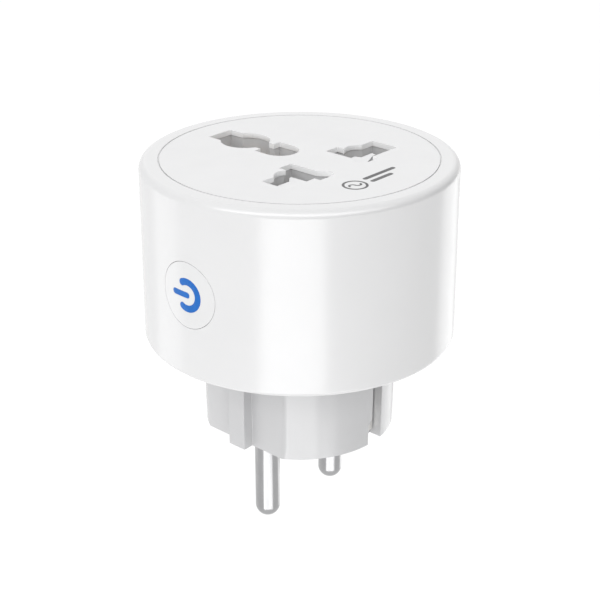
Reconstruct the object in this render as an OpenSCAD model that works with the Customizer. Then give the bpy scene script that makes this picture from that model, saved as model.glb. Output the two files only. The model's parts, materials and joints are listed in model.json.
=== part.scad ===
// Round smart plug: a two-pin nose below, a multi-standard socket on top,
// a push button on the side, and the mains and radio electronics inside.
// +Z is up, the plug pins lie along X, and z = 0 is at the pin tips.

/* [Overall] */
// Height of the round body
body_h = 34.0; // [32:0.25:40]
// Body radius at its foot
body_r = 29.4; // [29.2:0.1:31]
// Narrowing of the body radius from foot to top
body_draft = 0.3; // [0:0.1:0.6]
// Radius of the rounded top edge
top_round = 1.5; // [1:0.1:2.2]

/* [Plug nose and pins] */
// Height of the plug nose
nose_h = 19.1; // [18:0.05:22]
// Nose radius at its lower end
nose_r = 18.25; // [18:0.05:18.6]
// Distance from the axis to the side flats
nose_flat = 15.7; // [15.4:0.1:16.2]
// Width of the guide rib on each flat
rib_w = 3.92; // [3:0.02:4.4]
// Outer face of the guide rib
rib_out = 17.87; // [17:0.01:18.1]
// Pin diameter
pin_d = 4.8; // [4.0:0.1:4.8]
// Free length of a pin
pin_len = 19; // [16:0.5:21]
// Distance between the pins
pin_gap = 19; // [18:0.2:19]

/* [Socket] */
// Radius of the socket face disc
face_r = 25.4; // [25:0.1:25.4]
// Thickness of the face around the apertures
face_lip = 1.0; // [0.8:0.1:1.2]
// Width between the contact leaves of live parts
leaf_gap = 4.4; // [4.3:0.1:4.8]
// Width between the earth contact leaves
earth_gap = 5.2; // [4.8:0.1:5.4]
// Travel of the safety shutter
shutter_travel = 6.2; // [5:0.1:6.2]

/* [Button] */
// Diameter of the button
button_d = 12.2; // [10:0.1:12.5]
// Height of the button centre
button_z = 54.1; // [52:0.1:56]
// Travel of the button
button_travel = 0.5; // [0.3:0.05:0.5]

/* [Hidden] */
$fn = 72;

// heights
nose_z = pin_len;
floor_z = nose_z + nose_h;
top_z = floor_z + body_h;
floor_t = 2.2;
wall_in = 27.0;
base_r = wall_in - 0.1;

// socket face and the shutter gap below it
face_t = 2.2;
face_under = top_z - face_lip;
face_play = 0.08;
shutter_t = 1.5;
shutter_gap = 0.3;
shutter_top = face_under - shutter_gap;
shutter_low = shutter_top - shutter_t;
plate_top = shutter_low - shutter_gap;
plate_t = 1.4;
plate_low = plate_top - plate_t;
flange_t = 0.8;
flange_low = plate_low - flange_t;
flange_r = 23.2;
tub_low = 48.8;
tub_floor = 1.2;
tub_wall = 1.2;
well_gap = 0.15;
well_wall = 1.0;
well_top = face_under - 0.05;
boss_places = [[18.5, 2], [-18.5, 2], [11, 16], [-11, 16]];
carrier_screw_r = 0.85;
mark_depth = 0.2;

// contact pockets (low corner, high corner) and the spring channel of the carrier
live_tub = [[3.0, -12.8], [17.0, -0.5]];
earth_tub = [[-6.2, 0.1], [6.2, 21.7]];
channel_half = 2.0;
channel_from = -8.5;

// shutter lug and its return spring
lug_low = 66.2;
spring_packed = 4.2;
spring_len = shutter_travel + spring_packed;
spring_y = -11.0;
spring_r = 1.25;
spring_wire = 0.4;
spring_z = 67.55;

// socket apertures, measured from the axis, for the +X side
blade_in = 4.8;
blade_out = 8.05;
blade_top = -2.05;
blade_low = -11.7;
slot_out = 15.25;
slot_top = -4.6;
slot_low = -10.35;
live_round = [9.6, -6.2];
live_round_r = 2.95;
earth_top = 20.2;
earth_half = 2.94;
earth_round_y = 13.5;
earth_round_r = 4.65;
earth_low_y = 4.7;
earth_low_r = 3.45;
earth_low_top = 7.95;
neck_half = 1.85;

// contacts
leaf_t = 0.6;
live_y = -6.2;
live_x = 10;
live_len = 10;
contact_low = tub_low + tub_floor;
contact_h = 16;

// main board
board_z = 43.6;
board_t = 1.6;
board_top = board_z + board_t;
board_r = 24.6;
board_screw_places = [[0, 21.3], [16.6, -12.6], [-16.6, -12.6]];
board_screw_r = 0.9;

// pins
pin_boss_r = 4.5;
pin_boss_top = 27;
pin_root_r = pin_d / 2 + 0.25;
shank_r = 1.5;

// earth slots in the nose: left edge, right edge and depth of the slot at -Y
earth_slot_x = [-0.1, 2.85];
earth_slot_wide_x = -1.1;
earth_slot_wide_top = 23.1;
earth_slot_y = 15.5;
strip_t = 0.8;
strip_x = [0.2, 2.6];
strip_low = 20.2;
strip_bridge_z = 35.6;
riser_y = 12;

// button
button_play = 0.09;
button_hole_r = button_d / 2 + button_play;
cap_wall = 1.25;
cap_back = 24.6;
guide_face = 28.0;
ring_r = 2.5;
ring_w = 1.3;
ring_sweep = 118;
bar_w = 1.1;
bar_from = -3.6;
bar_to = 0.6;
button_board_x = 19.1;
switch_h = 3.3;
plunger_d = 3.2;
plunger_reach = 0.9;
plunger_sunk = 1.2;

// ---- helpers ----------------------------------------------------------

module both_sides() {
    children();
    mirror([1, 0, 0]) children();
}

module at_all(places) {
    for (p = places) translate([p[0], p[1], 0]) children();
}

// box from its low corner to its high corner
module span(low, high) {
    translate(low) cube(high - low);
}

module ring(r_out, r_in, z, h) {
    translate([0, 0, z]) difference() {
        cylinder(r = r_out, h = h, $fn = 144);
        translate([0, 0, -1]) cylinder(r = r_in, h = h + 2, $fn = 144);
    }
}

// a bar with round ends between two points
module stroke(a, b, w) {
    len = norm(b - a);
    translate(a) rotate(atan2(b[1] - a[1], b[0] - a[0])) {
        translate([0, -w / 2]) square([len, w]);
        circle(d = w);
        translate([len, 0]) circle(d = w);
    }
}

// ---- housing ----------------------------------------------------------

module body_envelope() {
    foot = 0.9;
    rotate_extrude($fn = 180) {
        difference() {
            union() {
                polygon([[0, floor_z], [body_r - foot, floor_z], [body_r - foot, floor_z + foot],
                    [body_r, floor_z + foot], [body_r - body_draft, top_z - top_round],
                    [0, top_z - top_round]]);
                translate([body_r - foot, floor_z + foot]) circle(r = foot, $fn = 48);
                translate([body_r - body_draft - top_round, top_z - top_round])
                    circle(r = top_round, $fn = 64);
                translate([0, top_z - top_round])
                    square([body_r - body_draft - top_round, top_round]);
            }
            translate([-5, floor_z - 5]) square([5, body_h + 10]);
        }
    }
}

module housing() {
    ledge_in = 24.3;
    stop_in = 25.8;
    color("white") difference() {
        body_envelope();
        // interior, the opening for the face, and the ledge that carries it
        translate([0, 0, floor_z - 1]) cylinder(r = wall_in, h = floor_t + 1, $fn = 144);
        translate([0, 0, floor_z]) cylinder(r = stop_in, h = body_h, $fn = 144);
        ring(wall_in, stop_in - 1, floor_z + floor_t + 1.25, top_z - floor_z - 3.75 - floor_t - 1.25);
        translate([0, 0, top_z - face_t]) cylinder(r = face_r + face_play, h = 5, $fn = 144);
        // button hole
        translate([-wall_in + 2, 0, button_z]) rotate([0, -90, 0]) cylinder(r = button_hole_r, h = 8);
    }
    // the ledge
    color("white") ring(stop_in + 0.6, ledge_in, top_z - face_t - 1.5, 1.5);
}

// ---- socket face ------------------------------------------------------

// rectangle from its low corner to its high corner, larger by g all round
module window(low, high, g) {
    translate([low[0] - g, low[1] - g]) square([high[0] - low[0] + 2 * g, high[1] - low[1] + 2 * g]);
}

module live_aperture(g) {
    window([blade_in, blade_low], [blade_out, blade_top], g);
    window([blade_in + 1, slot_low], [slot_out, slot_top], g);
    translate(live_round) circle(r = live_round_r + g);
    // the splayed blade's corner
    polygon([[blade_in + 0.1, g - 8.0], [blade_in - g, g - 8.1], [3.55 - g, g / 2 - 9.85],
        [3.55 - g, -g / 2 - 11.0], [4.5 - g / 2, blade_low - g], [blade_in + 0.1, blade_low - g]]);
}

module earth_aperture(g) {
    window([-earth_half, earth_round_y], [earth_half, earth_top], g);
    translate([0, earth_round_y]) circle(r = earth_round_r + g);
    window([-neck_half, earth_low_y], [neck_half, earth_round_y], g);
    translate([0, earth_low_y]) circle(r = earth_low_r + g);
    window([-earth_low_r, earth_low_y], [earth_low_r, earth_low_top], g);
}

module apertures(g) {
    translate([0.2, 0]) both_sides() live_aperture(g);
    earth_aperture(g);
}

module mark_shape() {
    // generic rating mark: a ring with a wave, and two plain bars
    translate([-5.9, -17.8]) {
        difference() {
            circle(r = 2.3);
            circle(r = 1.85);
        }
        for (s = [-1, 1]) translate([s * 0.62, 0]) intersection() {
            difference() {
                circle(r = 0.82, $fn = 32);
                circle(r = 0.42, $fn = 32);
            }
            translate([-1, s > 0 ? -1 : 0]) square([2, 1]);
        }
    }
    stroke([-2.2, -17.0], [5.6, -17.0], 0.9);
    stroke([-2.2, -18.7], [2.8, -18.7], 0.9);
}

module socket_face() {
    color("white") difference() {
        union() {
            translate([0, 0, face_under]) cylinder(r = face_r, h = face_lip, $fn = 144);
            ring(face_r, face_r - 1.8, top_z - face_t, face_t - 0.5);
            translate([0, 0, plate_top]) at_all(boss_places)
                cylinder(r = 2.5, h = face_under - plate_top + 0.5, $fn = 36);
        }
        translate([0, 0, top_z - 5]) linear_extrude(8) apertures(0);
        translate([0, 0, plate_top - 1]) at_all(boss_places)
            cylinder(r = carrier_screw_r, h = face_under - plate_top + 0.6, $fn = 24);
        translate([0, 0, top_z - mark_depth]) linear_extrude(1) mark_shape();
    }
}

module face_mark() {
    color("dimgray") translate([0, 0, top_z - mark_depth]) linear_extrude(mark_depth) mark_shape();
}

// ---- base cover with the plug nose ------------------------------------

module nose_outline(r, flat) {
    intersection() {
        circle(r = r, $fn = 144);
        square([2 * flat, 4 * r], center = true);
    }
}

// the slot in the nose wall at -Y, wider over its lowest stretch
module earth_slot() {
    cut = earth_slot_x[0] - earth_slot_wide_x;
    translate([0, -earth_slot_y, 0]) rotate([90, 0, 0]) linear_extrude(6)
        polygon([[earth_slot_x[1], nose_z - 1], [earth_slot_x[1], floor_z],
            [earth_slot_x[0], floor_z], [earth_slot_x[0], earth_slot_wide_top + cut],
            [earth_slot_wide_x, earth_slot_wide_top], [earth_slot_wide_x, nose_z - 1]]);
}

module base_cover() {
    inner_r = 16.2;
    inner_flat = 13.7;
    hook_angles = [30, 150, 210, 330];
    color("white") difference() {
        union() {
            // nose wall with flats and guide ribs
            translate([0, 0, nose_z]) intersection() {
                cylinder(r1 = nose_r, r2 = nose_r + 0.25, h = nose_h, $fn = 144);
                union() {
                    span([-nose_flat, -30, 0], [nose_flat, 30, nose_h + 1]);
                    span([-rib_out, -rib_w / 2, 0], [rib_out, rib_w / 2, nose_h + 1]);
                }
            }
            // floor disc
            translate([0, 0, floor_z]) cylinder(r = base_r, h = floor_t, $fn = 144);
        }
        // hollow of the nose
        difference() {
            translate([0, 0, nose_z + 2.5]) linear_extrude(floor_z + floor_t - nose_z)
                nose_outline(inner_r, inner_flat);
            for (turn = [0, 180]) rotate(turn)
                span([-2.7, -inner_r - 1, nose_z], [4.45, -13.6, floor_z + floor_t]);
            translate([0, 0, nose_z]) both_sides() translate([pin_gap / 2, 0, 0])
                cylinder(r = pin_boss_r, h = pin_boss_top - nose_z);
        }
        for (turn = [0, 180]) rotate(turn) {
            earth_slot();
            // passage of the earth strip into the nose
            span([strip_x[0] - 0.1, -earth_slot_y - 0.5, strip_bridge_z - 0.1],
                [strip_x[1] + 0.1, -13, strip_bridge_z + strip_t + 0.1]);
        }
        both_sides() translate([pin_gap / 2, 0, nose_z - 1]) cylinder(r = pin_root_r, h = 20);
    }
    color("white") {
        // board posts
        difference() {
            translate([0, 0, floor_z + floor_t - 0.5]) at_all(board_screw_places)
                cylinder(r = 2.6, h = board_z - floor_z - floor_t + 0.5, $fn = 36);
            translate([0, 0, floor_z + floor_t]) at_all(board_screw_places)
                cylinder(r = board_screw_r, h = 6, $fn = 24);
        }
        // snap hooks over the stop ring of the housing
        for (a = hook_angles) rotate(a - 6) rotate_extrude(angle = 12, $fn = 144)
            polygon([[24.6, floor_z + floor_t - 0.5], [25.7, floor_z + floor_t - 0.5],
                [25.7, floor_z + floor_t + 1.35], [26.6, floor_z + floor_t + 1.35],
                [25.7, floor_z + floor_t + 2.6], [24.6, floor_z + floor_t + 2.6]]);
    }
}

// ---- pins and earth strip ---------------------------------------------

module plug_pin() {
    collar_h = 1.2;
    shank_top = board_top + 1.0;
    color("silver") rotate_extrude(convexity = 4) {
        intersection() {
            translate([0, pin_d / 2]) circle(d = pin_d, $fn = 64);
            square([pin_d, pin_d / 2]);
        }
        translate([0, pin_d / 2]) square([pin_d / 2, pin_boss_top - pin_d / 2]);
        translate([0, nose_z]) square([pin_root_r, pin_boss_top - nose_z]);
        translate([0, pin_boss_top]) square([3.4, collar_h]);
        square([shank_r, shank_top]);
    }
}

module pin_line() {
    translate([pin_gap / 2, 0, 0]) plug_pin();
}

module pin_neutral() {
    translate([-pin_gap / 2, 0, 0]) plug_pin();
}

module earth_strip() {
    riser_top = contact_low;
    reach = earth_slot_y + strip_t;
    color("goldenrod") {
        for (turn = [0, 180]) rotate(turn)
            span([strip_x[0], -reach, strip_low], [strip_x[1], -earth_slot_y, strip_bridge_z + strip_t]);
        for (turn = [0, 180]) rotate(turn)
            span([strip_x[0], -earth_slot_y - 0.1, strip_bridge_z],
                [strip_x[1], -9.9, strip_bridge_z + strip_t]);
        span([-strip_x[1], -10, strip_bridge_z], [strip_x[1], riser_y + 0.1, strip_bridge_z + strip_t]);
        span([-1.5, riser_y, strip_bridge_z], [1.5, riser_y + strip_t, riser_top]);
    }
}

// ---- socket contacts --------------------------------------------------

// U-shaped contact: two leaves that pinch inward near the mouth
module contact_profile(gap, h) {
    for (s = [-1, 1]) scale([s, 1]) {
        translate([gap / 2, 0]) square([leaf_t, h]);
        translate([gap / 2 + 0.25, h - 1.2]) circle(r = 0.55, $fn = 32);
    }
    translate([-gap / 2 - leaf_t, 0]) square([gap + 2 * leaf_t, leaf_t]);
}

module live_contact() {
    tail_w = 2.4;
    color("peru") {
        translate([live_x - live_len / 2, live_y, contact_low]) rotate([90, 0, 90])
            linear_extrude(live_len) contact_profile(leaf_gap, contact_h);
        span([live_x + 2 - tail_w / 2, live_y - leaf_t / 2, board_z - 0.8],
            [live_x + 2 + tail_w / 2, live_y + leaf_t / 2, contact_low + 0.1]);
    }
}

module contact_line() {
    live_contact();
}

module contact_neutral() {
    mirror([1, 0, 0]) live_contact();
}

module contact_earth() {
    earth_from = 2.6;
    earth_len = 15.6;
    color("peru") translate([0, earth_from + earth_len, contact_low]) rotate([90, 0, 0])
        linear_extrude(earth_len) contact_profile(earth_gap, contact_h);
}

// ---- contact carrier and aperture plate -------------------------------

// the spring channel and the screw holes, which go through both pieces
module flange_openings() {
    span([-channel_half, spring_y - spring_len, 65.6], [channel_half, channel_from, plate_top + 1]);
    translate([0, 0, 40]) at_all(boss_places) cylinder(r = carrier_screw_r, h = 40, $fn = 24);
}

module pocket_outline(g) {
    both_sides() window(live_tub[0], live_tub[1], g);
    window(earth_tub[0], earth_tub[1], g);
}

module contact_carrier() {
    color("whitesmoke") difference() {
        union() {
            translate([0, 0, flange_low]) cylinder(r = flange_r, h = flange_t, $fn = 144);
            translate([0, 0, tub_low]) linear_extrude(flange_low - tub_low + 0.3) pocket_outline(0);
            // spring trough
            span([-channel_half - 1, -flange_r + 0.8, 64.6], [channel_half + 1, -8, flange_low + 0.3]);
        }
        translate([0, 0, tub_low + tub_floor]) linear_extrude(25) pocket_outline(-tub_wall);
        flange_openings();
        // slots for the contact tails and the earth riser
        both_sides() span([live_x + 0.7, live_y - 0.4, tub_low - 1],
            [live_x + 3.3, live_y + 0.4, tub_low + tub_floor + 1]);
        span([-1.6, riser_y - 0.1, tub_low - 1], [1.6, riser_y + strip_t + 0.1, tub_low + tub_floor + 1]);
    }
}

// where a wall may stand beside the shutter: everything its edge never sweeps
module clear_of_shutter() {
    polygon([[-17, -5.3], [-9.35, -5.3], [-8.0, -4.1], [-7.1, -3.85], [-6.75, -3.85], [-6.75, -9.25],
        [1.9, -9.25], [3.95, -5.1], [9.45, -5.1], [9.85, -6.25], [13.1, -6.15], [13.15, -13],
        [18, -13], [18, 22], [-17, 22]]);
}

// plate over the contact pockets, with raised walls that carry on the apertures' outline
module aperture_plate() {
    color("gainsboro") difference() {
        union() {
            translate([0, 0, plate_low]) cylinder(r = flange_r, h = plate_t, $fn = 144);
            translate([0, 0, plate_top - 0.5]) linear_extrude(well_top - plate_top + 0.5)
                intersection() {
                    apertures(well_gap + well_wall);
                    clear_of_shutter();
                }
        }
        translate([0, 0, plate_low - 1]) linear_extrude(8) apertures(well_gap);
        flange_openings();
    }
}

module pan_screw(head_r, head_h, shank_r, shank_len) {
    difference() {
        union() {
            cylinder(r = shank_r, h = shank_len, $fn = 24);
            translate([0, 0, -head_h]) cylinder(r1 = head_r - 0.3, r2 = head_r, h = head_h, $fn = 36);
        }
        translate([0, 0, -head_h - 0.1]) for (a = [0, 90]) rotate(a)
            span([-head_r * 0.6, -0.2, 0], [head_r * 0.6, 0.2, 0.7]);
    }
}

module carrier_screws() {
    color("gray") translate([0, 0, flange_low]) at_all(boss_places)
        pan_screw(1.9, 1.2, carrier_screw_r, face_under - flange_low - 0.5);
}

// ---- shutter ----------------------------------------------------------

module shutter() {
    color("white") {
        translate([0, 0, shutter_low]) linear_extrude(shutter_t) polygon([
            [-15.4, -5.65], [-9.2, -5.65], [-7.8, -4.45], [-7.1, -4.2], [-7.1, -9.6], [2.2, -9.6],
            [4.2, -5.45], [9.2, -5.45], [9.6, -6.6], [12.7, -6.5], [12.8, -7.5], [11.3, -7.85],
            [8.4, -9.15], [7.0, -12.8], [-12.9, -12.8], [-15.4, -10.6]]);
        span([-1.5, spring_y, lug_low], [1.5, spring_y + 1.3, shutter_low + 0.1]);
        translate([0, spring_y + 0.1, spring_z]) rotate([90, 0, 0]) cylinder(r = 0.8, h = 2.3, $fn = 24);
    }
}

// coil made as a twisted ring sector, so the wire keeps its thickness
module shutter_spring() {
    turns = 8;
    pitch = spring_len / turns;
    wire_turn = 360 * spring_wire / pitch;
    steps = 4;
    outer = [for (i = [0:steps]) let (a = wire_turn * i / steps)
        (spring_r + spring_wire / 2) * [cos(a), sin(a)]];
    inner = [for (i = [steps:-1:0]) let (a = wire_turn * i / steps)
        (spring_r - spring_wire / 2) * [cos(a), sin(a)]];
    color("gray") translate([0, spring_y, spring_z]) rotate([90, 0, 0])
        linear_extrude(spring_len, twist = -360 * turns, slices = 16 * turns, $fn = 8)
            polygon(concat(outer, inner));
}

// ---- button -----------------------------------------------------------

// the power symbol: an open ring and a bar, drawn in the button's own plane
module power_symbol() {
    rotate(-ring_sweep) intersection() {
        difference() {
            circle(r = ring_r + ring_w / 2);
            circle(r = ring_r - ring_w / 2);
        }
        polygon([[0, 0], for (i = [0:8]) let (a = 2 * ring_sweep * i / 8) 9 * [cos(a), sin(a)]]);
    }
    for (s = [-1, 1]) rotate(s * ring_sweep) translate([ring_r, 0]) circle(d = ring_w, $fn = 36);
    stroke([bar_from + bar_w / 2, 0], [bar_to - bar_w / 2, 0], bar_w);
}

// turns a drawing so that its plane is the button's face, seen from outside at -X,
// with the drawing's +X pointing along -Y
module on_button(depth) {
    translate([-depth, 0, button_z]) rotate([90, 0, -90]) children();
}

module button_cap() {
    flange_h = 1.0;
    color("white") difference() {
        union() {
            intersection() {
                on_button(cap_back) cylinder(d = button_d, h = 8, $fn = 96);
                body_envelope();
            }
            on_button(cap_back) cylinder(d = button_d + 2.3, h = flange_h, $fn = 96);
        }
        on_button(cap_back - 1)
            cylinder(d = button_d - 2 * cap_wall, h = guide_face - cap_back + 1);
        on_button(cap_back) linear_extrude(8) power_symbol();
    }
}

module light_guide() {
    plate_t = 1.2;
    post_end = button_board_x + switch_h + plunger_reach + 0.3;
    color("dodgerblue") {
        intersection() {
            on_button(guide_face - 0.1) linear_extrude(8) power_symbol();
            body_envelope();
        }
        on_button(guide_face - plate_t) cylinder(d = button_d - 2 * cap_wall, h = plate_t);
        on_button(post_end) cylinder(r = 1.5, h = guide_face - plate_t - post_end + 0.1, $fn = 36);
    }
}

module switch_plunger() {
    color("black") on_button(button_board_x + switch_h - plunger_sunk)
        cylinder(d = plunger_d, h = plunger_reach + plunger_sunk, $fn = 36);
}

module switch_body() {
    side = 6;
    bore_depth = plunger_sunk + button_travel / 2 + 0.15;
    color("dimgray") difference() {
        on_button(button_board_x) translate([-side / 2, -side / 2, 0]) cube([side, side, switch_h]);
        on_button(button_board_x + switch_h - bore_depth) cylinder(d = plunger_d + 0.12, h = 5, $fn = 36);
        for (y = [-1, 1], z = [-1, 1]) on_button(button_board_x + switch_h - 0.3)
            translate([y * 2.35, z * 2.35, 0]) cylinder(r = 0.3, h = 2, $fn = 16);
    }
    color("silver") for (s = [-1, 1]) on_button(button_board_x)
        translate([s * 3.4 - 0.45, -0.35 - 2.2, 0]) cube([0.9, 0.7, 0.5]);
}

module button_board() {
    thick = 1.2;
    color("green") span([-button_board_x, -8, board_top], [-button_board_x + thick, 8, 62]);
    color("black") span([-button_board_x + thick, -5, board_top],
        [-button_board_x + thick + 2.4, 5, board_top + 2.5]);
}

module status_led() {
    led_z = 5.4;
    color("lightblue") translate([0, 0, led_z]) on_button(button_board_x) {
        cylinder(r = 1.55, h = 0.8, $fn = 36);
        cylinder(r = 1.25, h = 2.2, $fn = 36);
        translate([0, 0, 2.2]) sphere(r = 1.25, $fn = 36);
    }
}

// ---- main board and its components ------------------------------------

module main_board() {
    color("darkgreen") difference() {
        translate([0, 0, board_z]) cylinder(r = board_r, h = board_t, $fn = 144);
        translate([0, 0, board_z - 1]) {
            both_sides() translate([pin_gap / 2, 0, 0]) cylinder(r = shank_r, h = 4);
            at_all(board_screw_places) cylinder(r = board_screw_r + 0.2, h = 4, $fn = 24);
            both_sides() translate([live_x + 0.7, live_y - 0.4, 0]) cube([2.6, 0.8, 4]);
            translate([-1.7, riser_y - 0.2, 0]) cube([3.4, strip_t + 0.4, 4]);
        }
    }
}

module board_screws() {
    color("gray") translate([0, 0, board_top]) at_all(board_screw_places)
        mirror([0, 0, 1]) pan_screw(1.8, 1.2, board_screw_r, board_t + 2.6);
}

module relay() {
    low = [7.0, 2.4, board_top];
    size = [10, 15.2, 15.5];
    color("royalblue") {
        translate(low) cube(size);
        translate(low + [0.5, 0.5, size[2]]) cube([size[0] - 1, size[1] - 1, 0.3]);
    }
}

module film_capacitor() {
    color("gold") {
        span([-6.5, -23.0, board_top + 0.4], [6.5, -18.5, board_top + 10.4]);
        for (x = [-1, 1]) translate([x * 5, -20.75, board_top]) cylinder(r = 0.3, h = 0.5, $fn = 16);
    }
}

module can_capacitor(r, h) {
    bead = 1.6;
    rotate_extrude() difference() {
        square([r, h]);
        translate([r + 0.35, bead]) circle(r = 0.6, $fn = 24);
        translate([0, h - 0.25]) square([r - 0.9, 1]);
    }
}

module bulk_capacitors() {
    color("darkslategray") translate([0, 0, board_top]) {
        translate([-11.2, 6.5, 0]) can_capacitor(4, 12.5);
        translate([-10.4, 15.7, 0]) can_capacitor(4, 12.5);
    }
}

module line_choke() {
    color("dimgray") translate([20.7, -5, board_top]) {
        cylinder(r = 3, h = 1.2, $fn = 48);
        translate([0, 0, 1.2]) cylinder(r = 2.6, h = 5.6, $fn = 48);
        translate([0, 0, 6.8]) cylinder(r = 3, h = 1.2, $fn = 48);
    }
}

module supply_inductor() {
    color("black") translate([-18.3, 11.6, board_top]) {
        cylinder(r = 2.9, h = 7.5, $fn = 48);
        translate([0, 0, 7.5]) cylinder(r = 2.3, h = 0.3, $fn = 48);
    }
}

module varistor() {
    disc_r = 4.6;
    color("steelblue") rotate(-125) translate([19.0, 0, board_top + disc_r + 0.6]) rotate([0, 90, 0])
        cylinder(r = disc_r, h = 3.2, $fn = 72);
    color("silver") rotate(-125) for (s = [-1, 1])
        translate([20.6, s * 2.5, board_top]) cylinder(r = 0.35, h = 3, $fn = 16);
}

module fuse() {
    color("saddlebrown") rotate(-58) span([18.6, -4.2, board_top], [22.4, 4.2, board_top + 8]);
}

module rectifier() {
    color("black") span([-2.4, -8, board_top], [2.4, -4, board_top + 2.4]);
}

module meter_chip() {
    color("black") span([-2, 2, board_top], [2, 7, board_top + 1.5]);
    lead_pitch = 1.27;
    color("silver") for (x = [-3, 2], i = [0:3])
        span([x, 2.5 + i * lead_pitch, board_top], [x + 1, 2.9 + i * lead_pitch, board_top + 0.5]);
}

module current_shunt() {
    color("tan") difference() {
        span([18.8, 0.8, board_top], [20.8, 8.0, board_top + 4]);
        span([18, 1.8, board_top - 1], [22, 7.0, board_top + 3]);
    }
}

module radio_board() {
    color("navy") span([-9, -15.4, board_top], [9, -14.4, 63.4]);
}

module radio_shield() {
    color("silver") difference() {
        span([-6, -17.6, board_top + 1.6], [6, -15.4, board_top + 13]);
        span([-5.7, -17.3, board_top + 1.9], [5.7, -15.3, board_top + 12.7]);
    }
}

housing();
socket_face();
face_mark();
base_cover();
pin_line();
pin_neutral();
earth_strip();
contact_line();
contact_neutral();
contact_earth();
contact_carrier();
aperture_plate();
carrier_screws();
shutter();
shutter_spring();
button_cap();
light_guide();
button_board();
switch_body();
switch_plunger();
status_led();
main_board();
board_screws();
relay();
film_capacitor();
bulk_capacitors();
line_choke();
supply_inductor();
varistor();
fuse();
rectifier();
meter_chip();
current_shunt();
radio_board();
radio_shield();
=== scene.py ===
import json
import math
import bmesh
import bpy
from mathutils import Matrix, Vector


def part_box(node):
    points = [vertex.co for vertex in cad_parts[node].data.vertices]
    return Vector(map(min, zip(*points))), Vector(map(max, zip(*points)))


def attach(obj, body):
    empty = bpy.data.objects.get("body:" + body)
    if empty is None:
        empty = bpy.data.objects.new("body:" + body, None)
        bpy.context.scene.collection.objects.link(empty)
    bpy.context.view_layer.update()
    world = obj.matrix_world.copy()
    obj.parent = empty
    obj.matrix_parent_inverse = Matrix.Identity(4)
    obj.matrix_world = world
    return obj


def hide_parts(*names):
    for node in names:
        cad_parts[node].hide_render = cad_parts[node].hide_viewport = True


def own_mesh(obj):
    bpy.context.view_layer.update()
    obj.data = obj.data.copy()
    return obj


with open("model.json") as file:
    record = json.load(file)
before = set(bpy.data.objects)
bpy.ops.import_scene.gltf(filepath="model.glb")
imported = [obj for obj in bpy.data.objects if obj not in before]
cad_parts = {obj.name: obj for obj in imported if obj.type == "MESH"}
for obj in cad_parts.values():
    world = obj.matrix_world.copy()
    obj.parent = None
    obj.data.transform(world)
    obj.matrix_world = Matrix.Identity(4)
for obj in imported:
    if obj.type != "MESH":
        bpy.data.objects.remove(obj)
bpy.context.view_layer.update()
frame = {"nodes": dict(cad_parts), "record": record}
scene = bpy.context.scene

MM = 0.001
ON_AXIS = 1e-6          # a smaller radius is a point on the axis
WELD = 0.003            # CAD vertices nearer than this are one
FLAT = 0.8              # CAD faces within this many degrees are one flat face
SLIVER = 0.0005         # shorter edges are removed after rounding
SHARP = 50              # edges bent by more degrees than this are shaded sharp


# ---- places from the frame: lengths are in millimetres from here to the camera --

def corners(node):
    """The lowest and the highest corner of a CAD node, to a hundredth of a millimetre."""
    return [[round(v / MM, 2) for v in corner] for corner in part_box(node)]


def middle(node):
    """The middle of a CAD node."""
    low, high = corners(node)
    return [(a + b) / 2 for a, b in zip(low, high)]


# ---- mesh helpers --------------------------------------------------------------

def ring_points(r, n, z=0.0):
    """n points evenly round a circle at height z."""
    angles = (2 * math.pi * i / n for i in range(n))
    return [Vector((r * math.cos(a), r * math.sin(a), z)) for a in angles]


def arc(cx, cy, r, a0, a1, n):
    """Points of an arc in a profile plane, angles in degrees."""
    out = []
    for i in range(n + 1):
        a = math.radians(a0 + (a1 - a0) * i / n)
        out.append((cx + r * math.cos(a), cy + r * math.sin(a)))
    return out


def lathe(profile, steps, closed=True):
    """Turns a profile of (radius, height) points round Z. A closed profile makes a ring."""
    bm = bmesh.new()
    loops = []
    for r, z in profile:
        if r < ON_AXIS:
            loops.append([bm.verts.new((0, 0, z))])
        else:
            loops.append([bm.verts.new(p) for p in ring_points(r, steps, z)])
    pairs = list(zip(loops, loops[1:]))
    if closed:
        pairs.append((loops[-1], loops[0]))
    for a, b in pairs:
        for i in range(steps):
            j = (i + 1) % steps
            if len(a) == 1:
                bm.faces.new((a[0], b[j], b[i]))
            elif len(b) == 1:
                bm.faces.new((a[i], a[j], b[0]))
            else:
                bm.faces.new((a[i], a[j], b[j], b[i]))
    bmesh.ops.recalc_face_normals(bm, faces=bm.faces)
    return bm


def tube(path, r, sides=12):
    """A round wire along a line of points."""
    bm = bmesh.new()
    path = [Vector(q) for q in path]
    side = (path[1] - path[0]).orthogonal()
    rings = []
    for i, q in enumerate(path):
        along = (path[min(i + 1, len(path) - 1)] - path[max(i - 1, 0)]).normalized()
        side = (side - along * side.dot(along)).normalized()
        across = along.cross(side)
        rings.append([bm.verts.new(q + r * (math.cos(a) * side + math.sin(a) * across))
                      for a in (2 * math.pi * k / sides for k in range(sides))])
    for a, b in zip(rings, rings[1:]):
        for k in range(sides):
            bm.faces.new((a[k], a[(k + 1) % sides], b[(k + 1) % sides], b[k]))
    bm.faces.new(rings[0])
    bm.faces.new(rings[-1])
    bmesh.ops.recalc_face_normals(bm, faces=bm.faces)
    return bm


def prism(outline, length):
    """An outline in the XY plane drawn out along +Z."""
    bm = bmesh.new()
    low = [bm.verts.new((x, y, 0)) for x, y in outline]
    high = [bm.verts.new((x, y, length)) for x, y in outline]
    bm.faces.new(low)
    bm.faces.new(high)
    for i in range(len(low)):
        j = (i + 1) % len(low)
        bm.faces.new((low[i], low[j], high[j], high[i]))
    bmesh.ops.recalc_face_normals(bm, faces=bm.faces)
    return bm


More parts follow.
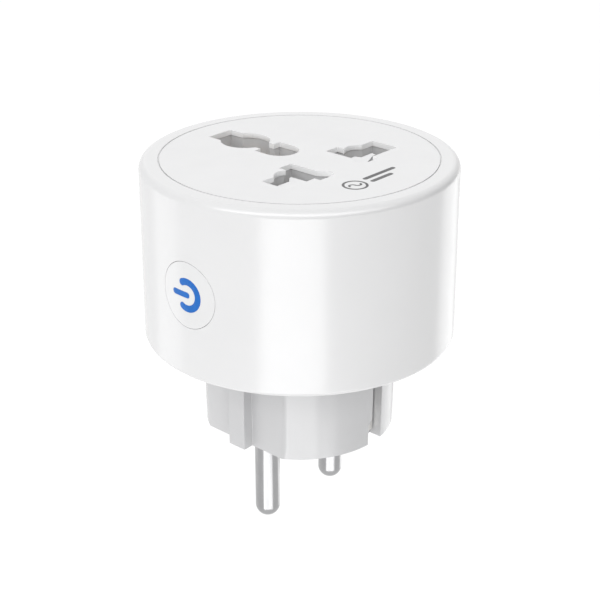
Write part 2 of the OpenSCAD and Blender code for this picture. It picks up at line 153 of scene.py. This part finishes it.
def ribbon(path, width):
    """Outline of a flat strip along a line that turns only at right angles."""
    path = [Vector(q) for q in path]
    left, right = [], []
    for i, q in enumerate(path):
        steps = [(path[k + 1] - path[k]).normalized()
                 for k in (i - 1, i) if 0 <= k < len(path) - 1]
        out = sum((Vector((-d.y, d.x)) for d in steps), Vector((0, 0))) * (width / 2)
        left.append(q + out)
        right.append(q - out)
    return left + right[::-1]


def block(low, high, edge):
    """A box with rounded edges."""
    (x0, y0, z0), (x1, y1, z1) = low, high
    bm = prism([(x0, y0), (x1, y0), (x1, y1), (x0, y1)], z1 - z0)
    bmesh.ops.translate(bm, vec=(0, 0, z0), verts=bm.verts)
    soften(bm, edge, 2)
    return bm


def placed(bm, at=(0, 0, 0), turn=0.0, axis="Z"):
    """The same mesh turned about an axis through the origin, then moved."""
    rotation = Matrix.Rotation(math.radians(turn), 3, axis)
    bmesh.ops.rotate(bm, cent=(0, 0, 0), matrix=rotation, verts=bm.verts)
    bmesh.ops.translate(bm, vec=at, verts=bm.verts)
    return bm


def joined(parts):
    """One mesh made of several."""
    out = bmesh.new()
    for part in parts:
        me = bpy.data.meshes.new("part")
        part.to_mesh(me)
        out.from_mesh(me)
        bpy.data.meshes.remove(me)
        part.free()
    return out


def soften(bm, width, segments, angle=35, pick=None):
    """Rounds the edges that are sharper than the angle and that pick, if given, says yes to."""
    bm.normal_update()
    edges = [e for e in bm.edges if len(e.link_faces) == 2 and
             e.calc_face_angle(0.0) > math.radians(angle) and (pick is None or pick(e))]
    if edges:
        bmesh.ops.bevel(bm, geom=edges, offset=width, offset_type="OFFSET", segments=segments,
                        profile=0.5, affect="EDGES", clamp_overlap=False)
        bmesh.ops.remove_doubles(bm, verts=bm.verts, dist=SLIVER)
        bmesh.ops.dissolve_degenerate(bm, dist=SLIVER, edges=bm.edges)


def to_object(bm, name):
    """A Blender object from a mesh in millimetres, shaded smooth but for its sharp edges."""
    bmesh.ops.scale(bm, vec=(MM, MM, MM), verts=bm.verts)
    me = bpy.data.meshes.new(name)
    bm.to_mesh(me)
    bm.free()
    if "custom_normal" in me.attributes:
        me.attributes.remove(me.attributes["custom_normal"])
    me.materials.clear()
    me.shade_smooth()
    me.set_sharp_from_angle(angle=math.radians(SHARP))
    obj = bpy.data.objects.new(name, me)
    scene.collection.objects.link(obj)
    weighted = obj.modifiers.new("normals", "WEIGHTED_NORMAL")
    weighted.keep_sharp = True
    return obj


def cad_mesh(node):
    """A working copy of a CAD node's mesh, joined up and with its flat faces merged."""
    bm = bmesh.new()
    bm.from_mesh(frame["nodes"][node].data)
    bmesh.ops.scale(bm, vec=(1 / MM,) * 3, verts=bm.verts)
    bmesh.ops.remove_doubles(bm, verts=bm.verts, dist=WELD)
    bmesh.ops.dissolve_limit(bm, angle_limit=math.radians(FLAT), verts=bm.verts, edges=bm.edges)
    return bm


def cut(bm, cutter):
    """bm minus cutter."""
    objects = []
    for k, part in enumerate((bm, cutter)):
        me = bpy.data.meshes.new("work%d" % k)
        part.to_mesh(me)
        obj = bpy.data.objects.new("work%d" % k, me)
        scene.collection.objects.link(obj)
        objects.append(obj)
    mod = objects[0].modifiers.new("cut", "BOOLEAN")
    mod.operation, mod.solver, mod.object = "DIFFERENCE", "EXACT", objects[1]
    dg = bpy.context.evaluated_depsgraph_get()
    result = bmesh.new()
    result.from_mesh(objects[0].evaluated_get(dg).to_mesh())
    for obj in objects:
        bpy.data.objects.remove(obj)
    bm.free()
    cutter.free()
    return result


# ---- materials ---------------------------------------------------------------

class Paint:
    """Builds one node material around a Principled shader."""

    def __init__(self, name, rough=0.4, metal=0.0, **uniform):
        self.mat = bpy.data.materials.new(name)
        self.mat.use_nodes = True
        self.tree = self.mat.node_tree
        self.shader = self.tree.nodes["Principled BSDF"]
        place = self.tree.nodes.new("ShaderNodeTexCoord")
        self.coords, self.normal = place.outputs["Object"], place.outputs["Normal"]
        self.shader.inputs["Metallic"].default_value = metal
        self.shader.inputs["Roughness"].default_value = rough
        for key, value in uniform.items():
            self.shader.inputs[key.replace("_", " ")].default_value = value
        self.relief = None

    def new(self, kind, inputs=(), **settings):
        """A node with its inputs set or linked."""
        n = self.tree.nodes.new("ShaderNode" + kind)
        for key, value in settings.items():
            setattr(n, key, value)
        for key, value in dict(inputs).items():
            if isinstance(value, bpy.types.NodeSocket):
                self.tree.links.new(value, n.inputs[key])
            else:
                n.inputs[key].default_value = value
        return n

    def grid(self, size, stretch=(1, 1, 1)):
        """Coordinates in units of that size in mm; stretch makes them longer along an axis."""
        scale = [1 / (size * MM * s) for s in stretch]
        return self.new("Mapping", {"Vector": self.coords, "Scale": scale}).outputs[0]

    def noise(self, size, detail=3.0, stretch=(1, 1, 1)):
        """Noise with features of about that size in mm."""
        return self.new("TexNoise", {"Vector": self.grid(size, stretch), "Scale": 1.0,
                                     "Detail": detail}).outputs["Fac"]

    def range(self, value, to_low, to_high, low=0.35, high=0.65):
        """The value's range low to high, spread over to_low to to_high."""
        return self.new("MapRange", {"Value": value, "From Min": low, "From Max": high,
                                     "To Min": to_low, "To Max": to_high}).outputs["Result"]

    def math(self, op, a, b=0.0):
        """One value from one or two."""
        n = self.new("Math", operation=op)
        for k, value in enumerate((a, b)):
            if isinstance(value, bpy.types.NodeSocket):
                self.tree.links.new(value, n.inputs[k])
            else:
                n.inputs[k].default_value = value
        return n.outputs[0]

    def mix(self, factor, a, b):
        """A colour between a and b."""
        n = self.new("Mix", data_type="RGBA")
        for key, value in (("Factor", factor), ("A", a), ("B", b)):
            socket = [s for s in n.inputs if s.name == key and s.enabled][0]
            if isinstance(value, bpy.types.NodeSocket):
                self.tree.links.new(value, socket)
            else:
                socket.default_value = (*value, 1.0)
        return [s for s in n.outputs if s.enabled][0]

    def set(self, key, value):
        """Drives one of the shader's inputs."""
        self.tree.links.new(value, self.shader.inputs[key])

    def bump(self, height, depth):
        """Adds relief of about that depth in mm."""
        args = {"Height": height, "Distance": depth * MM, "Strength": 1.0}
        if self.relief is not None:
            args["Normal"] = self.relief
        self.relief = self.new("Bump", args).outputs[0]
        self.set("Normal", self.relief)

    def edges(self):
        """1 on raised edges, 0 elsewhere."""
        return self.range(self.new("NewGeometry").outputs["Pointiness"], 0.0, 1.0, 0.52, 0.6)


def scaled(colour, factor):
    """The colour made lighter or darker."""
    return [min(1.0, c * factor) for c in colour]


SCUFF_WIDE, SCUFF_LONG = 0.5, 9             # width in mm, and length in widths
SCUFF_TONE, SCUFF_SHARE, SCUFF_ROUGH = 0.97, 0.4, 0.01
GLOSS_PATCH = 0.35                          # size of the patches of gloss, in patches of tone
EDGE_TONE = 1.08                            # of metal's bright edges
TRACK_TONE, TRACK_PITCH = 1.45, 1.27        # of the copper tracks below the solder mask


def moulded(name, colour, rough, grain, depth, wave, shift, wall=None, **uniform):
    """Moulded plastic: slow tone shift, uneven gloss, fine tool grain, and thin scuffs from use.
    wall gives the lighter colour painted on upright walls as painted light, and the radius in mm
    within which they have it."""
    p = Paint(name, **uniform)
    tone_patch = p.range(p.noise(wave, 4), 0, 1)
    base = p.mix(tone_patch, scaled(colour, 1 - shift), scaled(colour, 1 + shift))
    if wall:
        # painted light: upright walls within the radius get a lighter copy of the colour, standing in
        # for the light they catch
        tone, radius = wall
        facing = p.new("SeparateXYZ", {"Vector": p.normal}).outputs["Z"]
        painted_light_walls = p.range(p.math("ABSOLUTE", facing), 1, 0, 0.3, 0.8)
        flat = p.new("VectorMath", {0: p.coords, 1: (1, 1, 0)}, operation="MULTIPLY")
        reach = p.new("VectorMath", {0: flat.outputs["Vector"]}, operation="LENGTH")
        inside = p.range(reach.outputs["Value"], 1, 0, radius * MM, (radius + 0.3) * MM)
        base = p.mix(p.math("MULTIPLY", painted_light_walls, inside), base, tone)
    scuff = p.range(p.noise(SCUFF_WIDE, 3, (1, 1, SCUFF_LONG)), 0, 1, 0.68, 0.78)
    worn = scaled(colour, SCUFF_TONE)
    p.set("Base Color", p.mix(p.math("MULTIPLY", scuff, SCUFF_SHARE), base, worn))
    gloss = p.range(p.noise(wave * GLOSS_PATCH, 2), *rough, 0.2, 0.8)
    p.set("Roughness", p.math("ADD", gloss, p.math("MULTIPLY", scuff, SCUFF_ROUGH)))
    p.bump(p.noise(grain, 2), depth)
    return p.mat


def metal(name, colour, rough, grain, stretch, depth, tarnish=0.12):
    """Drawn or stamped metal: lines along the working direction, tarnish and bright edges."""
    p = Paint(name, metal=1.0)
    lines = p.noise(grain, 2, stretch)
    patch = p.noise(3.0, 5)
    base = p.mix(p.range(patch, 0, 1), scaled(colour, 1 - tarnish), colour)
    p.set("Base Color", p.mix(p.edges(), base, scaled(colour, EDGE_TONE)))
    mixed = p.math("ADD", p.math("MULTIPLY", lines, 0.5), p.math("MULTIPLY", patch, 0.5))
    p.set("Roughness", p.range(mixed, *rough))
    p.bump(lines, depth)
    return p.mat


def board(name, colour):
    """Solder mask over copper: faint track relief, weave under the mask and a glossy top."""
    p = Paint(name)
    tracks = p.new("TexVoronoi", {"Vector": p.grid(TRACK_PITCH), "Scale": 1.0},
                   distance="CHEBYCHEV", feature="F1").outputs["Distance"]
    line = p.range(tracks, 0, 1, 0.42, 0.5)
    p.set("Base Color", p.mix(p.math("MULTIPLY", line, 0.6), colour, scaled(colour, TRACK_TONE)))
    p.set("Roughness", p.range(p.noise(1.2), 0.28, 0.42))
    p.bump(line, 0.03)
    p.bump(p.noise(0.25, 2), 0.004)
    return p.mat


# colour, range of roughness, size and depth of the grain, size of the tone patches (all in mm), and
# how far the tone shifts
PLASTICS = {
    "shell_white": ((0.613, 0.613, 0.617), (0.2, 0.24), 0.25, 0.0003, 9, 0.006),
    "face_white": ((0.648, 0.648, 0.652), (0.36, 0.44), 0.16, 0.003, 8, 0.008),
    "print_grey": ((0.09, 0.09, 0.092), (0.45, 0.6), 0.1, 0.004, 2, 0.2),
    "nose_white": ((0.475, 0.475, 0.482), (0.21, 0.26), 0.18, 0.0005, 7, 0.008),
    "carrier_plastic": ((0.62, 0.62, 0.625), (0.42, 0.55), 0.2, 0.004, 5, 0.03),
    "shutter_white": ((0.66, 0.66, 0.665), (0.38, 0.48), 0.15, 0.003, 5, 0.015),
    "button_white": ((0.615, 0.615, 0.619), (0.2, 0.24), 0.2, 0.0003, 6, 0.006),
    "symbol_blue": ((0.004, 0.115, 0.43), (0.3, 0.4), 0.2, 0.001, 2, 0.05),
    "switch_grey": ((0.12, 0.12, 0.125), (0.4, 0.55), 0.15, 0.004, 3, 0.08),
    "black_plastic": ((0.025, 0.025, 0.027), (0.4, 0.6), 0.12, 0.005, 2, 0.15),
    "led_resin": ((0.72, 0.84, 0.95), (0.12, 0.2), 0.3, 0.001, 2, 0.02),
    "relay_blue": ((0.03, 0.12, 0.42), (0.3, 0.42), 0.2, 0.003, 5, 0.06),
    "film_yellow": ((0.78, 0.55, 0.05), (0.3, 0.45), 0.2, 0.003, 5, 0.05),
    "can_sleeve": ((0.03, 0.04, 0.09), (0.28, 0.38), 0.4, 0.003, 4, 0.1),
    "ferrite": ((0.06, 0.06, 0.062), (0.6, 0.8), 0.12, 0.02, 2, 0.2),
    "varistor_blue": ((0.04, 0.14, 0.42), (0.35, 0.5), 0.6, 0.03, 3, 0.08),
    "fuse_brown": ((0.10, 0.035, 0.015), (0.3, 0.45), 0.2, 0.004, 4, 0.1),
}
# settings of some plastics alone
SPECIAL = {
    "shell_white": {"Specular_IOR_Level": 1.0},
    # the face's upright walls within 24.5 mm get a lighter colour as painted light
    "face_white": {"wall": ((0.9, 0.9, 0.903), 24.5)},
    "nose_white": {"Specular_IOR_Level": 1.0},
    "button_white": {"Specular_IOR_Level": 1.0},
    "symbol_blue": {"Specular_IOR_Level": 0.25},
}
# colour, range of roughness, size, direction and depth of the working lines, and tarnish
METALS = {
    "pin_nickel": ((0.36, 0.36, 0.365), (0.19, 0.23), 0.05, (1, 1, 60), 0.0004, 0.06),
    "earth_metal": ((0.72, 0.71, 0.69), (0.28, 0.38), 0.08, (1, 1, 30), 0.0015),
    "contact_brass": ((0.78, 0.56, 0.30), (0.28, 0.42), 0.08, (1, 1, 25), 0.002),
    "screw_steel": ((0.55, 0.55, 0.56), (0.3, 0.45), 0.15, (1, 1, 1), 0.003),
    "spring_steel": ((0.6, 0.6, 0.62), (0.28, 0.4), 0.1, (1, 1, 1), 0.002),
    "shunt_alloy": ((0.6, 0.5, 0.42), (0.3, 0.45), 0.1, (1, 30, 1), 0.002),
    "shield_tin": ((0.7, 0.7, 0.7), (0.28, 0.4), 0.4, (1, 1, 1), 0.004),
}
BOARDS = {"board_green": (0.03, 0.20, 0.08), "board_blue": (0.03, 0.08, 0.28)}

paint = {slot: moulded(slot, *look, **SPECIAL.get(slot, {})) for slot, look in PLASTICS.items()}
paint.update((slot, metal(slot, *look)) for slot, look in METALS.items())
paint.update((slot, board(slot, colour)) for slot, colour in BOARDS.items())


def finish(obj, slot, body, replaces=()):
    """Gives a piece its material and body, and hides the CAD nodes it stands for."""
    obj.data.materials.append(paint[slot])
    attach(obj, body)
    if replaces:
        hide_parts(*replaces)
    return obj


# ---- pieces ------------------------------------------------------------------

slot_of = {node: obj.data.materials[0].name.split(".")[0] for node, obj in frame["nodes"].items()}
bodies = frame["record"]["behaviour"]["bodies"]
body_of = {node: body for body, members in bodies.items() for node in members}

# how far the edges of a copied node are rounded, and what the others get
USUAL_ROUNDING = 0.06
rounding = {
    "socket_face": 0.04, "face_mark": 0.02, "base_cover": 0.08, "earth_strip": 0.08,
    "shutter": 0.10, "button_cap": 0.04, "light_guide": 0.04, "contact_line": 0.06,
    "contact_neutral": 0.06, "contact_earth": 0.06, "contact_carrier": 0.1, "relay": 0.3,
    "film_capacitor": 0.4, "fuse": 0.3,
}

BUTTON_Z = middle("button_cap")[2]
BUTTON_HOLE = 6.16      # radius of the hole it runs in


def housing():
    """The turned shell with its rounded foot and top edge, the groove round the face, the ledges
    inside, and the button's hole."""
    (_, _, foot), (foot_r, _, top) = corners("housing")
    top_r = foot_r - 0.3                            # the draught of the wall
    foot_round, top_round, lip_round = 0.9, 1.5, 0.03
    face = corners("socket_face")[1][0] + 0.26      # the seam round the face
    groove_r, groove_top, groove_low = face - 0.22, top - 0.2, top - 2.2
    ledge, band, wall = 24.3, 25.8, 27.0            # radii inside
    ledge_low, floor_top, band_top = top - 3.7, foot + 2.2, foot + 3.45
    ease = 0.05
    outer = (arc(foot_r - foot_round, foot + foot_round, foot_round, -90, 0, 10) +
             arc(top_r - top_round, top - top_round, top_round, 0, 90, 20))
    lip = arc(face + lip_round, top - lip_round, lip_round, 90, 180, 3)
    inner = [(face, groove_top), (groove_r, groove_top), (groove_r, groove_low),
             (ledge + ease, groove_low), (ledge, groove_low - ease), (ledge, ledge_low + ease),
             (ledge + ease, ledge_low), (band, ledge_low), (band, ledge_low - ease),
             (wall, ledge_low - ease), (wall, band_top), (band, band_top), (band, floor_top),
             (wall, floor_top), (wall, foot + 0.1), (wall + 0.1, foot)]
    bm = placed(lathe(outer + lip + inner, 360), turn=0.5)
    out, back = -34, -25                            # the cutter's ends
    hole = lathe([(0, out), (BUTTON_HOLE, out), (BUTTON_HOLE, back), (0, back)], 144, closed=False)
    bm = cut(bm, placed(hole, (0, 0, BUTTON_Z), 90, "Y"))

    def on_rim(v):
        return v.co.x < 0 and abs(math.hypot(v.co.y, v.co.z - BUTTON_Z) - BUTTON_HOLE) < 0.02

    soften(bm, 0.04, 3, 40, lambda edge: all(on_rim(v) for v in edge.verts))
    return to_object(bm, "housing_shell")


def pin(name, node):
    """A plug pin: round tip, sleeve through the nose, flange inside it and tail up to the board."""
    r, sleeve, flange, tail = 2.4, 2.65, 3.4, 1.5
    shoulder, flange_low, flange_top, end = 19.0, 27.0, 28.2, corners(node)[1][2]
    ease, tip = 0.1, 0.3
    profile = ([(0, 0)] + arc(0, r, r, -90, 0, 16)[1:] +
               [(r, shoulder - 0.05), (sleeve, shoulder), (sleeve, flange_low),
                (flange - ease, flange_low), (flange, flange_low + ease),
                (flange, flange_top - ease), (flange - ease, flange_top), (tail, flange_top),
                (tail, end - tip), (tail - tip, end), (0, end)])
    return to_object(placed(lathe(profile, 96, closed=False), (middle(node)[0], 0, 0)), name)


def return_spring():
    """Closed coils at both ends and open ones between; wire is the wire's radius."""
    (_, end_y, _), (outside, start_y, _) = corners("shutter_spring")
    axis_z = middle("shutter_spring")[2]
    turns, ends, wire, per_turn = 10, 1.0, 0.2, 28
    length, r = start_y - end_y, outside - wire
    path = []
    for i in range(turns * per_turn + 1):
        t = i / per_turn
        closed = min(t, ends) + max(0.0, t - (turns - ends))
        open_part = (t - closed) / (turns - 2 * ends)
        along = wire + 2 * wire * closed + (length - 2 * wire - 4 * wire * ends) * open_part
        a = 2 * math.pi * t
        path.append((r * math.cos(a), start_y - along, axis_z + r * math.sin(a)))
    return tube(path, wire)


def winding(r, low, high, wire):
    """Close turns of wire on a bobbin, as one turned body; wire is the wire's radius."""
    turns, core = int((high - low) / (2 * wire)), 0.3
    profile = [(core, low), (r - wire, low)]
    for i in range(turns):
        profile += arc(r - wire, low + wire * (2 * i + 1), wire, -80, 80, 6)
    profile += [(r - wire, low + 2 * wire * turns), (core, low + 2 * wire * turns)]
    return lathe(profile, 72)


# lower and upper face of the main board
UNDER, TOP = (corner[2] for corner in corners("main_board"))


def solder(x, y, r=0.9, h=0.75, lead=0.32):
    """A solder cone with the end of its lead, below the main board."""
    end = h + 0.42
    slope = [(r, 0), (r * 0.8, h * 0.25), (r * 0.55, h * 0.6), (lead * 1.3, h), (lead, h + 0.05),
             (lead, h + 0.35), (lead * 0.7, end)]
    cone = [(radius, UNDER - down) for radius, down in slope]
    profile = [(0, UNDER)] + cone + [(0, UNDER - end)]
    return placed(lathe(profile, 20, closed=False), (x, y, 0))


def turned(degrees, x, y):
    """A point turned about Z."""
    a = math.radians(degrees)
    return (x * math.cos(a) - y * math.sin(a), x * math.sin(a) + y * math.cos(a))


def chip_part(x, y, z, turn):
    """The dark body and the two tinned ends of a small surface part."""
    w, d, h = 1.6, 0.8, 0.5
    end, overlap, proud, edge = 0.3, 0.05, 0.02, 0.04
    inset = end - overlap
    body = block((-w / 2 + inset, -d / 2 + proud, 0), (w / 2 - inset, d / 2 - proud, h), edge)
    ends = [block((x0, -d / 2, 0), (x0 + end, d / 2, h + proud), edge)
            for x0 in (-w / 2, w / 2 - end)]
    return placed(body, (x, y, z), turn), [placed(e, (x, y, z), turn) for e in ends]


def gull_lead(x, y, z, turn, reach=1.0, rise=0.75, width=0.4, t=0.14):
    """A bent lead: out of the package, down and flat on the board. t is its thickness."""
    outline = [(0, rise), (0.3, rise), (0.45, t), (reach, t), (reach, 0), (0.36, 0),
               (0.2, rise - t), (0, rise - t)]
    lead = placed(prism(outline, width), (0, 0, -width / 2))
    return placed(placed(lead, turn=90, axis="X"), (x, y, z), turn)


# nodes that get a new shape, and then the rest: copies with rounded edges
own = {"housing", "pin_line", "pin_neutral", "shutter_spring"}
spring = finish(to_object(return_spring(), "return_spring"), "spring_steel", "case",
                ["shutter_spring"])
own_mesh(spring)
finish(housing(), "shell_white", "case", ["housing"])
finish(pin("line_pin", "pin_line"), "pin_nickel", "case", ["pin_line"])
finish(pin("neutral_pin", "pin_neutral"), "pin_nickel", "case", ["pin_neutral"])

for node in frame["nodes"]:
    if node in own:
        continue
    bm = cad_mesh(node)
    edge = rounding.get(node, USUAL_ROUNDING)
    soften(bm, edge, 2 if edge < 0.1 else 3)
    finish(to_object(bm, node + "_look"), slot_of[node], body_of[node], [node])


# ---- detail on the boards: solder, leads, windings and small parts ------------

SIDES = (-1, 1)
CANS = ((-11.2, 6.5), (-10.4, 15.7))        # the middles of the bulk capacitors


def pair(x, y, across, along):
    """The places of two leads, on either side of a middle."""
    return [(x + s * across, y + s * along) for s in SIDES]


relay_x, relay_y, _ = middle("relay")
leads = [(relay_x + s * 3, relay_y + t * 5.5) for s in SIDES for t in SIDES] + [(relay_x, relay_y)]
leads += pair(*middle("film_capacitor")[:2], 5, 0)
leads += [place for x, y in CANS for place in pair(x, y, 0, 1.75)]
leads += pair(*middle("line_choke")[:2], 0, 1.8)
leads += pair(*middle("supply_inductor")[:2], 1.8, 0)
leads += [turned(-125, 20.6, s * 2.5) for s in SIDES]                   # varistor
leads += [turned(-58, 20.5, s * 2.5) for s in SIDES]                    # fuse
leads += pair(*middle("current_shunt")[:2], 0, 3.1)
leads += [(2.0 * k, middle("radio_board")[1]) for k in range(-4, 5)]
leads += [(-16.8, 2.0 * k) for k in range(-2, 3)]                       # button board
joints = [solder(x, y) for x, y in leads]
# the tails of the live contacts, and the riser of the earth strip
joints += [solder(s * 12, -6.2, 1.9, 0.8, 0.6) for s in SIDES] + [solder(0, 12.4, 1.6, 0.8, 0.6)]
# the tails of the pins are soldered from above
fillet = [(1.5, 0), (2.3, 0), (1.95, 0.2), (1.65, 0.55), (1.55, 0.95), (1.5, 1.0)]
for node in ("pin_neutral", "pin_line"):
    ring = lathe([(r, TOP + up) for r, up in fillet], 48)
    joints.append(placed(ring, (middle(node)[0], 0, 0)))
finish(to_object(joined(joints), "solder_joints"), "shield_tin", "case")

# centre and turn of each small surface part on the main board
SMALL_PARTS = (
    (-3.6, 3.2, 90), (-3.6, 5.6, 90), (3.9, 5.2, 90), (0, 8.2, 0), (0.2, -2.2, 0), (-5.4, -9.6, 0),
    (-2.6, -9.6, 0), (0.4, -9.6, 0), (3.4, -9.6, 0), (6.0, -10.6, 90), (14.6, -9.4, 30),
    (-14.8, -3.6, 0), (-14.8, -5.6, 0), (-4.6, 11.0, 90), (4.4, 21.6, 0), (-4.8, 21.2, 0))
small = [chip_part(x, y, TOP, turn) for x, y, turn in SMALL_PARTS]
finish(to_object(joined([body for body, ends in small]), "small_parts"), "black_plastic", "case")
tinned = [end for body, ends in small for end in ends]
finish(to_object(joined(tinned), "small_part_ends"), "shield_tin", "case")

first = corners("meter_chip")[0][1] + 0.7
bent = [gull_lead(s * 2, first + 1.27 * k, TOP, 0 if s > 0 else 180)
        for s in SIDES for k in range(4)]
bent += [gull_lead(s * 2.4, middle("rectifier")[1] + t * 1.2, TOP, 0 if s > 0 else 180, 1.1, 0.9, 0.7)
         for s in SIDES for t in SIDES]
finish(to_object(joined(bent), "chip_leads"), "shield_tin", "case")

coil = placed(winding(2.75, TOP + 1.25, TOP + 6.75, 0.16), (*middle("line_choke")[:2], 0))
finish(to_object(coil, "choke_winding"), "contact_brass", "case")

lids = []
lid_top = corners("bulk_capacitors")[1][2] - 0.2
lid_low = lid_top - 0.3
for x, y in CANS:
    lid = lathe([(0, lid_low), (3.05, lid_low), (3.05, lid_top - 0.06), (2.95, lid_top),
                 (0, lid_top)], 64, closed=False)
    arm = [(2.2, -0.14), (2.2, 0.14), (0.14, 0.14)]
    cross = [turned(90 * k, *point) for k in range(4) for point in arm]
    lid = cut(lid, placed(prism(cross, 1), (0, 0, lid_top - 0.12), 2))
    lids.append(placed(lid, (x, y, 0)))
finish(to_object(joined(lids), "capacitor_lids"), "shield_tin", "case")

_, board_front, _ = corners("radio_board")[0]
board_end = corners("radio_board")[1][2]
meander = []
for k in range(6):
    ends = (board_end - 3.2, board_end - 0.85) if k % 2 == 0 else (board_end - 0.85, board_end - 2.95)
    meander += [(-6.75 + 2.4 * k, end) for end in ends]
antenna = prism(ribbon(meander, 0.5), 0.06)
soften(antenna, 0.01, 1)
trace = [placed(placed(antenna, turn=90, axis="X"), (0, board_front, 0))]
trace += [block((2.0 * k - 0.4, board_front - 0.1, TOP + 0.1), (2.0 * k + 0.4, board_front, TOP + 1.4),
                0.02) for k in range(-4, 5)]
finish(to_object(joined(trace), "antenna_and_pads"), "contact_brass", "case")


# ---- floor, light and camera -------------------------------------------------

FLOOR_Z, FLOOR_HALF = -360, 6000
bm = bmesh.new()
bmesh.ops.create_grid(bm, x_segments=8, y_segments=8, size=FLOOR_HALF)
floor = to_object(placed(bm, (0, 0, FLOOR_Z)), "floor")
paper = Paint("floor_paper", rough=0.9, Emission_Color=(1, 1, 1, 1), Emission_Strength=0.05)
pulp = paper.range(paper.noise(40, 2), 0, 1)
paper.set("Base Color", paper.mix(pulp, (0.835,) * 3, (0.845,) * 3))
floor.data.materials.append(paper.mat)

# from here on in metres and degrees
VIEW_TURN, VIEW_DOWN = 48.6, 24.46      # the camera looks from +Y round towards +X, and down
CAMERA_AT = (-0.1699, -0.1498, 0.1463)
LIT_POINT = Vector((0, 0, 0.05))        # the lights stand round this point and face it


def direction(azimuth, elevation):
    """A unit vector: azimuth 0 is towards the camera, positive to the camera's right."""
    a, e = math.radians(azimuth - VIEW_TURN), math.radians(elevation)
    return Vector((math.sin(a) * math.cos(e), -math.cos(a) * math.cos(e), math.sin(e)))


def aim(obj, along):
    """Turns an object so that it faces along a direction."""
    obj.rotation_mode = "QUATERNION"
    obj.rotation_quaternion = along.to_track_quat("-Z", "Y")


def soft_box(name, azimuth, elevation, distance, width, height, radiance, gloss_only=False):
    """A rectangular light facing the object, with its brightness given as radiance. One that is
    gloss_only is seen in reflections and lights nothing else."""
    light = bpy.data.lights.new(name, "AREA")
    light.shape, light.size, light.size_y = "RECTANGLE", width, height
    light.energy = radiance * math.pi * width * height
    obj = bpy.data.objects.new(name, light)
    obj.location = LIT_POINT + distance * direction(azimuth, elevation)
    aim(obj, LIT_POINT - obj.location)
    obj.visible_camera = False
    obj.visible_diffuse = not gloss_only
    scene.collection.objects.link(obj)


soft_box("front_low", -4.5, -27, 0.6, 0.45, 0.36, 1.98)
soft_box("front_high", -12, 35, 0.6, 1.2, 0.14, 1.6)
soft_box("shoulder", 2, 47, 0.6, 1.5, 0.28, 1.6, True)
soft_box("back_high", 180, 24, 0.6, 0.5, 0.35, 0.2, True)
for azimuth in (-30, 24, 38):       # the highlights on the pins
    soft_box("pin_strip", azimuth, -39.4, 0.323, 0.072, 0.052, 2.0, True)
soft_box("rim_right", 134, -22, 0.5, 0.26, 0.3, 0.95, True)
soft_box("left", -107, -22, 0.5, 0.24, 0.2, 0.6)

# The surroundings: plain white to the camera. For lighting they are brighter overhead, and dark on
# the right except overhead, which shades that side of the object.
world = bpy.data.worlds.new("studio")
scene.world = world
world.use_nodes = True
nodes, links = world.node_tree.nodes, world.node_tree.links


def smooth(value, *limits):
    """A smooth step of a value: limits are From Min, From Max, To Min and To Max."""
    n = nodes.new("ShaderNodeMapRange")
    n.interpolation_type = "SMOOTHSTEP"
    for key, limit in zip(("From Min", "From Max", "To Min", "To Max"), limits):
        n.inputs[key].default_value = limit
    links.new(value, n.inputs["Value"])
    return n.outputs["Result"]


def combine(operation, a, b):
    """One value from two."""
    n = nodes.new("ShaderNodeMath")
    n.operation = operation
    links.new(a, n.inputs[0])
    links.new(b, n.inputs[1])
    return n.outputs[0]


way = nodes.new("ShaderNodeTexCoord").outputs["Generated"]
to_right = nodes.new("ShaderNodeVectorMath")
to_right.operation = "DOT_PRODUCT"
to_right.inputs[1].default_value = direction(75, 0)
links.new(way, to_right.inputs[0])
split = nodes.new("ShaderNodeSeparateXYZ")
links.new(way, split.inputs[0])
height = split.outputs["Z"]
dark = combine("MULTIPLY", smooth(to_right.outputs["Value"], 0.1, 0.95, 0.0, 0.98),
               smooth(height, 0.15, 0.75, 1.0, 0.0))
level = combine("SUBTRACT", smooth(height, 0.2, 1.0, 0.95, 1.4), dark)
seen = nodes.new("ShaderNodeMix")
links.new(nodes.new("ShaderNodeLightPath").outputs["Is Camera Ray"], seen.inputs["Factor"])
links.new(level, seen.inputs["A"])
seen.inputs["B"].default_value = 1.05
back = nodes["Background"]
links.new(seen.outputs["Result"], back.inputs["Strength"])
back.inputs["Color"].default_value = (1, 1, 1, 1)

cam = bpy.data.cameras.new("camera")
cam.sensor_width, cam.lens = 36.0, 78.42
cam.shift_x = 0.0006
cam.clip_start, cam.clip_end = 0.01, 20
eye = bpy.data.objects.new("camera", cam)
eye.location = CAMERA_AT
aim(eye, -direction(0, VIEW_DOWN))
scene.collection.objects.link(eye)
scene.camera = eye
scene.view_settings.view_transform = "Standard"
